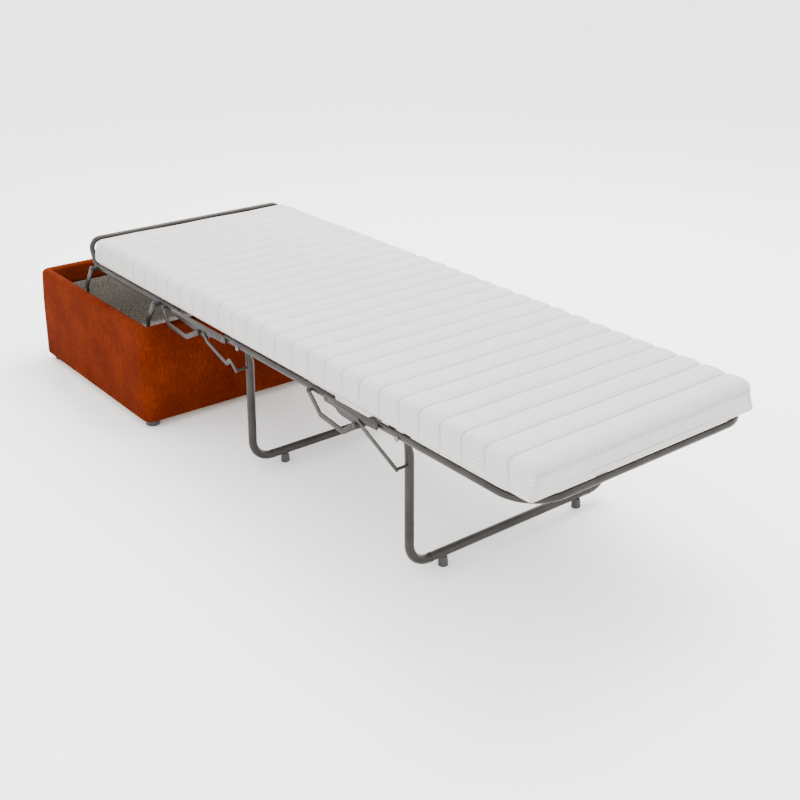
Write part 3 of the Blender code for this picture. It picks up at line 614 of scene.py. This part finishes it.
for number, hinge in ((1, hinge1), (2, hinge2)):
    length = hinge[1] - hinge[0]
    for name, side in sides:
        # stamped plate between the two pivots, with a raised rib along it
        shape = np.array(plateShapes[number])
        ends = [arcPoints(length, 0, 0.0105, -60, 90, 12), arcPoints(0, 0, 0.0095, 90, 255, 12)]
        outline = softened(np.concatenate([shape, *ends]) + np.array([hinge[0], railZ]), 1)
        shells = [plateShell(outline, side, layers["plate"])]
        for x in hinge:
            shells.append(pinShell((x, railZ), side, pin["end"], plateOut - sink, pin["radius"]))
            shells.append(rivet((x, railZ), side, plateOut - sink, rodIn - 0.0001, 0.0068))
        rib = [(hinge[0] + length * share, railZ + rise) for share, rise in ribLine]
        ribLayer = (plateOut - 0.0004, plateOut + 0.0007)
        shells.append(plateShell(strapOutline(rib, strap["rib"]), side, ribLayer, 0.0004))
        replaced = [f"hinge_plate_{number}_{name}"]
        piece = makePiece(f"foldPlate{number}_{name}", shells, steel, replaced)
        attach(piece, f"hinge_plates_{number}")

        # bent link outside it
        pivot = linkPivots[number]
        bends = [(pivot[0] + a, pivot[1] + b) for a, b in linkBends[number]]
        line = roundedPath(bends, strap["bend"], 6)
        shells = [plateShell(strapOutline(line, strap["link"]), side, layers["link"], 0.0007)]
        shells.append(pinShell(pivot, side, pin["end"], linkIn + pin["seat"], pin["radius"]))
        for spot in (bends[0], bends[-1]):
            shells.append(rivet(spot, side, linkOut - sink, linkOut + 0.0024, 0.0056))
        replaced = [f"bent_link_{number}_{name}"]
        piece = makePiece(f"bentLink{number}_{name}", shells, steel, replaced)
        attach(piece, f"links_{number}")

        # rod from the plate to the leg: the first one is bent, the second straight
        boss, end = bosses[number], rodEnds[number]
        line = straight(boss, end, 8)
        if number == 1:
            bends = [boss, (boss[0] + 0.020, boss[1] - 0.018), (end[0] - 0.045, end[1] + 0.004)]
            line = roundedPath(bends + [(end[0] - 0.030, end[1] + 0.022), end], strap["bend"], 6)
        shells = [plateShell(strapOutline(line, strap["rod"]), side, layers["rod"], 0.0005)]
        shells.append(pinShell(boss, side, plateIn - 0.002, rodIn + pin["seat"], pin["radius"]))
        shells.append(pinShell(boss, side, plateIn - 0.0025, plateIn - 0.0004, 0.0064))
        shells.append(pinShell(end, side, 0.3281, rodIn + pin["seat"], pin["radius"]))
        shells.append(rivet(end, side, rodOut - 0.0004, rodOut + 0.0018, 0.0050))
        replaced = [f"leg_rod_{number}_{name}"]
        piece = makePiece(f"legStay{number}_{name}", shells, steel, replaced)
        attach(piece, f"rods_{number}")

arm = {"front": -0.403, "rear": -0.802, "reach": 0.039, "footZ": 0.245, "elbow": 0.058, "half": 0.0095,
       "bend": 0.016, "head": 0.0066}
rear, front = arm["rear"] - arm["reach"], arm["front"] - arm["reach"]
# the wall plate: a long foot with a raised lug round each arm's pivot
lug = {"crown": arm["footZ"] + 0.016, "half": 0.016, "shoulder": 0.215, "low": 0.150, "dip": 0.205,
       "over": 0.030, "slope": 0.045}
plan = [(rear - lug["over"], lug["low"]), (front + lug["over"], lug["low"]),
        (front + lug["over"], lug["shoulder"]), (front + lug["half"], lug["crown"]),
        (front - lug["half"], lug["crown"]), (front - lug["slope"], lug["dip"]),
        (rear + lug["slope"], lug["dip"]), (rear + lug["half"], lug["crown"]),
        (rear - lug["half"], lug["crown"]), (rear - lug["over"], lug["shoulder"])]
for name, side in sides:
    for end in ("front", "rear"):
        head, foot = (arm[end], railZ), (arm[end] - arm["reach"], arm["footZ"])
        line = roundedPath([foot, (foot[0] - 0.001, foot[1] + arm["elbow"]), head], arm["bend"], 8)
        shells = [plateShell(strapOutline(line, arm["half"]), side, layers["arm"], 0.0008)]
        shells.append(pinShell(head, side, pin["end"], armIn + pin["seat"], pin["radius"]))
        shells.append(pinShell(head, side, 0.3516, armIn + pin["seat"], arm["head"]))
        shells.append(rivet(head, side, armOut - sink, armOut + 0.0026, arm["head"]))
        piece = makePiece(f"swingArm_{end}_{name}", shells, steel, [f"{end}_arm_{name}"])
        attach(piece, f"{end}_arms")
    shells = [plateShell(softened(np.array(plan[::-1])), side, layers["bracket"], 0.0007)]
    for x in (rear, front):
        shells.append(pinShell((x, arm["footZ"]), side, 0.3760, 0.3900, 0.0090))
        shells.append(pinShell((x, arm["footZ"]), side, 0.3660, 0.3770, pin["radius"]))
    inner = -layers["bracket"][0]
    for x in np.linspace(rear + 0.05, front - 0.05, 4):
        shells.append(rivet((x, 0.172), -side, inner - 0.0003, inner + 0.0024, 0.0060))
    bracket = makePiece("wallPlate_" + name, shells, steel, ["side_bracket_" + name])
    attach(bracket, "box")
print("folding gear made")

bed = {"head": -0.846, "foot": 1.075, "half": 0.345, "low": 0.3726, "high": 0.4490, "deep": 0.0085,
       "corner": 0.024, "lowCorner": 0.010, "headRound": 0.055, "footRound": 0.026, "headDraw": 0.034,
       "footDraw": 0.020, "bow": 0.010, "uneven": 0.0014}


def stationsOf(x0, x1, headEnd, footEnd, perChannel=18):
    # stations along the bed, closest together beside the grooves and over the rounded ends
    pitch, groove = quilting["pitch"], quilting["groove"]
    channels = np.arange(math.floor((x0 - groove) / pitch) - 1, math.ceil((x1 - groove) / pitch) + 2)
    share = 0.5 - 0.5 * np.cos(np.linspace(0, math.pi, perChannel, endpoint=False))
    xs = (channels[:, None] + share).ravel() * pitch + groove
    xs = np.concatenate([[x0], xs[(xs > x0 + 0.0004) & (xs < x1 - 0.0004)], [x1]])
    ease = 1 - np.cos(np.linspace(0, math.pi / 2, 15))
    if headEnd:
        xs = np.concatenate([x0 + headEnd * ease, xs[xs > x0 + headEnd + 0.001]])
    if footEnd:
        xs = np.concatenate([xs[xs < x1 - footEnd - 0.001], x1 - footEnd * ease[::-1]])
    phase = np.abs((((xs - groove) / pitch) + 0.5) % 1 - 0.5) * 2  # 0 in a groove, 1 at a crown
    # an arch that is steep beside the grooves and flat on the crown
    swell = (1 - (1 - phase) ** 2.6) ** 0.62
    pull = np.zeros(len(xs))  # how far a rounded end draws a station in
    for length, distance in ((headEnd, xs - x0), (footEnd, x1 - xs)):
        if length:
            near = np.clip(distance / length, 0, 1)
            pull = np.maximum(pull, 1 - np.sqrt(1 - (1 - near) ** 2))
    return xs, swell, pull


def sectionPoints(half, rise, upper, lower):
    # points round a rounded rectangle from the middle of the underside, with its own upper and lower radius
    under = np.stack([np.linspace(0, half - lower, 12, endpoint=False), np.full(12, -rise)], -1)
    below = arcPoints(half - lower, lower - rise, lower, -90, 0, 7)[:-1]
    wall = np.stack([np.full(7, half), np.linspace(lower - rise, rise - upper, 7, endpoint=False)], -1)
    above = arcPoints(half - upper, rise - upper, upper, 0, 90, 11)[:-1]
    across = np.stack([np.linspace(half - upper, 0, 20, endpoint=False), np.full(20, rise)], -1)
    one = np.concatenate([under, below, wall, above, across])
    return np.concatenate([one, [[0, rise]], one[1:][::-1] * np.array([-1, 1])])


def endRings(ring, heading, depth=26):
    # a true end, from its rim to its middle: slightly full, with one stitched groove along it
    middle = ring.mean(0)
    middle[2] = (ring[:, 2].max() + ring[:, 2].min()) / 2
    share = np.linspace(1, 0.02, depth)[1:, None, None]
    rings = middle + (ring - middle) * share
    tall = (rings[..., 2] - middle[2]) / (np.ptp(ring[:, 2]) / 2)
    wide = (rings[..., 1] - middle[1]) / (np.ptp(ring[:, 1]) / 2)
    full = 0.0045 * (1 - np.maximum(tall ** 2, np.abs(wide) ** 12))
    groove = 0.0038 * np.exp(-((tall + 0.34) / 0.075) ** 2) * (1 - np.abs(wide) ** 10)
    rings[..., 0] += heading * (full - groove)
    return rings


def buildMattress(name, x0, x1, headEnd, footEnd, replaced):
    # a rounded rectangle across the bed, run along X: each channel swells between two stitched grooves,
    # most on the top and the upper sides, not at all underneath, and a true end is rounded over
    xs, swell, pull = stationsOf(x0, x1, headEnd, footEnd)
    half, rise = bed["half"], (bed["high"] - bed["low"]) / 2
    section = sectionPoints(half, rise, bed["corner"], bed["lowCorner"])
    upward = np.clip(section[:, 1] / rise, -1, 1)
    near = np.where(upward > 0, bed["corner"], bed["lowCorner"])
    inner = np.stack([half - near, rise - near], -1)
    outward = unit(np.sign(section) * np.maximum(np.abs(section) - inner, 0) + 1e-9)
    deep = bed["deep"] * np.clip((upward + 0.95) / 0.9, 0, 1)
    puff = (swell[:, None] - 1) * deep + 0.0010
    lift = np.clip((upward + 0.7) / 1.2, 0, 1)
    draw = np.where(xs[:, None] < 0, bed["headDraw"], bed["footDraw"])
    drawn = (0.14 + 0.86 * lift * lift * (3 - 2 * lift)) * pull[:, None] * draw
    # the grooves bow towards the foot where they run down the sides
    bow = bed["bow"] * np.clip((np.abs(section[:, 0]) - (half - 0.04)) / 0.04, 0, 1) * (1 - upward) * 0.5
    grid = np.empty((len(xs), len(section), 3))
    grid[..., 0] = xs[:, None] + bow * np.clip(np.minimum(xs - x0, x1 - xs) / 0.03, 0, 1)[:, None]
    grid[..., 1] = section[:, 0] + outward[:, 0] * (puff - drawn)
    grid[..., 2] = section[:, 1] + outward[:, 1] * (puff - drawn)
    # slow unevenness of the filling
    x, y = xs[:, None], section[:, 0]
    uneven = bed["uneven"] * np.sin(x * 9 + y * 14) * np.sin(y * 11 + x * 5 + 0.7)
    grid[..., 2] += np.where(upward > 0.8, uneven - bed["uneven"], 0) + (bed["high"] + bed["low"]) / 2
    run = np.concatenate([[0], np.cumsum(np.linalg.norm(np.diff(section, axis=0), axis=1))])
    uv = np.stack(np.broadcast_arrays(xs[:, None], run), -1)
    for length, first, heading in ((headEnd, 0, -1), (footEnd, -1, 1)):
        if length:
            rings = endRings(grid[first], heading)
            # on an end the weave runs on downwards
            down = heading * (rings[..., 2].max() - rings[..., 2]) + xs[first]
            flat = np.stack([down, rings[..., 1] + 2], -1)
            grid = np.concatenate([rings[::-1], grid] if heading < 0 else [grid, rings])
            uv = np.concatenate([flat[::-1], uv] if heading < 0 else [uv, flat])
    piece = makePiece(name, [ringShell(grid)], white, replaced, uv.reshape(-1, 2), 80)
    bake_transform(piece)


# the pieces meet in grooves
splits = [quilting["groove"] - quilting["pitch"] * k for k in (17, 12, 7)]
buildMattress("quiltHead", bed["head"], splits[0], bed["headRound"], 0,
              ["mattress_head", "mattress_hinge_1"])
buildMattress("quiltMiddle1", splits[0], splits[1], 0, 0,
              ["mattress_middle"])
buildMattress("quiltMiddle2", splits[1], splits[2], 0, 0,
              ["mattress_hinge_2"])
buildMattress("quiltFoot", splits[2], bed["foot"], 0, bed["footRound"],
              ["mattress_foot"])
print("mattress made")

reach = 12  # half the floor's side
floorMesh = bpy.data.meshes.new("floor")
corners = [(-reach, -reach, 0), (reach, -reach, 0), (reach, reach, 0), (-reach, reach, 0)]
floorMesh.from_pydata(corners, [], [(0, 1, 2, 3)])
floor = bpy.data.objects.new("floor", floorMesh)
bpy.context.scene.collection.objects.link(floor)
paper, tree, shader = newLook("palePaper", {"Roughness": 0.6})
cloudy = noise(tree, objectPlace(tree), 0.6, 2.0)
paint(tree, shader, cloudy, [(0.3, (0.955, 0.95, 0.94)), (0.7, (0.975, 0.97, 0.96))])
floorMesh.materials.append(paper)

world = bpy.data.worlds.new("studio")
world.use_nodes = True
sky = world.node_tree.nodes["Background"]
sky.inputs["Color"].default_value = (0.97, 0.965, 0.96, 1)
sky.inputs["Strength"].default_value = 3.5
bpy.context.scene.world = world


def softBox(name, place, aim, size, power, colour=(1, 1, 1)):
    data = bpy.data.lights.new(name, "AREA")
    data.shape = "RECTANGLE"
    data.size, data.size_y = size
    data.energy = power
    data.color = colour
    lamp = bpy.data.objects.new(name, data)
    bpy.context.scene.collection.objects.link(lamp)
    lamp.location = place
    x, y, z = np.array(aim, float) - np.array(place, float)
    lamp.rotation_euler = (math.atan2(math.hypot(x, y), -z), 0, math.atan2(y, x) - math.pi / 2)


softBox("key", (-0.6, 1.6, 3.2), (0.1, 0, 0.3), (2.6, 2.6), 245, (1, 0.985, 0.97))
softBox("fill", (1.8, -3.0, 1.8), (0, 0, 0.3), (2.4, 1.6), 34, (0.96, 0.98, 1))

view = {"place": (2.5876, -1.8515, 1.5490), "pitch": 17.0, "yaw": 51.76, "lens": 56.0, "sensor": 36,
        "shift": -0.2}
cameraData = bpy.data.cameras.new("camera")
cameraData.lens, cameraData.sensor_width = view["lens"], view["sensor"]
cameraData.shift_y = view["shift"]
camera = bpy.data.objects.new("camera", cameraData)
camera.location = view["place"]
camera.rotation_euler = (math.radians(90 - view["pitch"]), 0, math.radians(view["yaw"]))
bpy.context.scene.collection.objects.link(camera)
bpy.context.scene.camera = camera
print("stage made")
